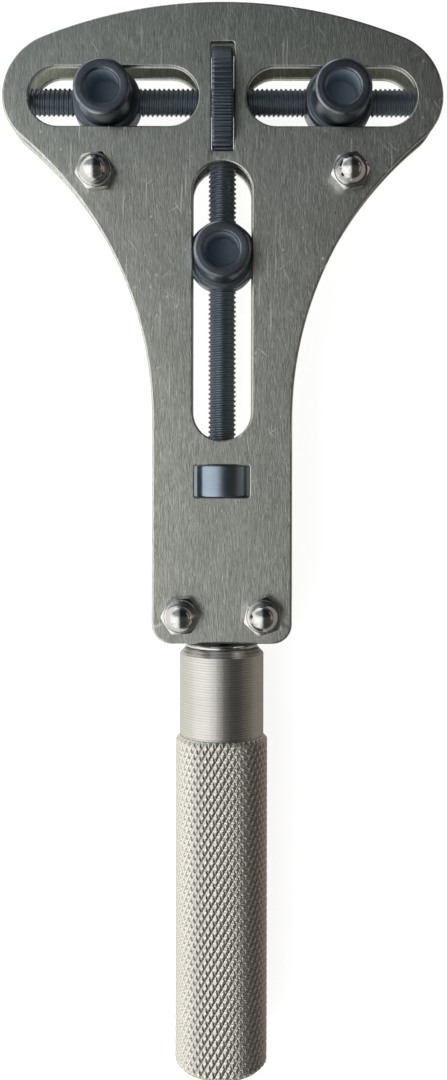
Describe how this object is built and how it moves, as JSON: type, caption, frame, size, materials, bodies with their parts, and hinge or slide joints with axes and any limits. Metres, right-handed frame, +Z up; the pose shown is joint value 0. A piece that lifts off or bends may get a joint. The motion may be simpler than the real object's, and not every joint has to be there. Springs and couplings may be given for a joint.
{
  "type": "adjustable watch case back opener",
  "caption": "Adjustable jaw wrench for screwed watch backs: slotted steel plates, sliding bit holders on threaded spindles, thumbwheel, knurled screw handle.",
  "frame": {"origin": "centre of the overall box in plan, at the level of the lowest point (the thumbwheel's rim, on which the flat-lying tool rests)", "axes": "+Z up through the three sockets, away from the surface the tool lies on; +Y from the handle towards the head; +X across the plates, to the right as seen from the socket side"},
  "size_m": [0.0736, 0.1784, 0.0194],
  "materials": {
    "plate_steel": "vertically brushed steel, worn satin with fine nicks",
    "block_steel": "plain machined steel",
    "bright_screw": "bright plated screw head",
    "polished_nut": "polished plated cap nut",
    "black_oxide": "blue-black oxide on turned steel, satin",
    "black_oxide_smooth": "blue-black oxide on smooth turned steel, semi-gloss",
    "polished_ring": "polished steel ring",
    "handle_nickel": "satin nickel, fine turning lines on the neck and a diamond knurl on the grip",
    "dark_screw": "black headless screw"
  },
  "bodies": {
    "frame": {"front_plate": "plate_steel", "back_plate": "plate_steel", "bearing_block": "block_steel", "upper_spacer_left": "block_steel", "upper_spacer_right": "block_steel", "screw_upper_left": "bright_screw", "screw_upper_right": "bright_screw", "screw_lower_left": "bright_screw", "screw_lower_right": "bright_screw", "cap_nut_upper_left": "polished_nut", "cap_nut_upper_right": "polished_nut", "cap_nut_lower_left": "polished_nut", "cap_nut_lower_right": "polished_nut"},
    "wheel_group": {"cross_spindle": "black_oxide", "thumbwheel": "black_oxide"},
    "left_holder": {"holder_left": "black_oxide"},
    "right_holder": {"holder_right": "black_oxide"},
    "lower_holder": {"holder_lower": "black_oxide"},
    "handle_group": {"lower_spindle": "black_oxide", "thrust_collar": "black_oxide_smooth", "thrust_washer": "polished_ring", "handle": "handle_nickel", "handle_set_screw": "dark_screw"}
  },
  "joints": [
    {"name": "wheel_turn", "type": "hinge", "parent": "frame", "child": "wheel_group", "pos_m": [0, 0.07345, 0.0092], "axis": [1, 0, 0], "range_deg": [-3456, 4680]},
    {"name": "left_holder_slide", "type": "slide", "parent": "frame", "child": "left_holder", "axis": [1, 0, 0], "range_m": [-0.0077, 0.0105]},
    {"name": "right_holder_slide", "type": "slide", "parent": "frame", "child": "right_holder", "axis": [1, 0, 0], "range_m": [-0.0105, 0.0077]},
    {"name": "handle_turn", "type": "hinge", "parent": "frame", "child": "handle_group", "pos_m": [0, -0.01775, 0.0092], "axis": [0, 1, 0], "range_deg": [-4680, 11520]},
    {"name": "lower_holder_slide", "type": "slide", "parent": "frame", "child": "lower_holder", "axis": [0, 1, 0], "range_m": [-0.0257, 0.0105]}
  ],
  "couplings": [
    {"joint": "left_holder_slide", "follows": "wheel_turn", "m_per_rad": 0.00012732},
    {"joint": "right_holder_slide", "follows": "wheel_turn", "m_per_rad": -0.00012732},
    {"joint": "lower_holder_slide", "follows": "handle_turn", "m_per_rad": -0.00012732}
  ]
}
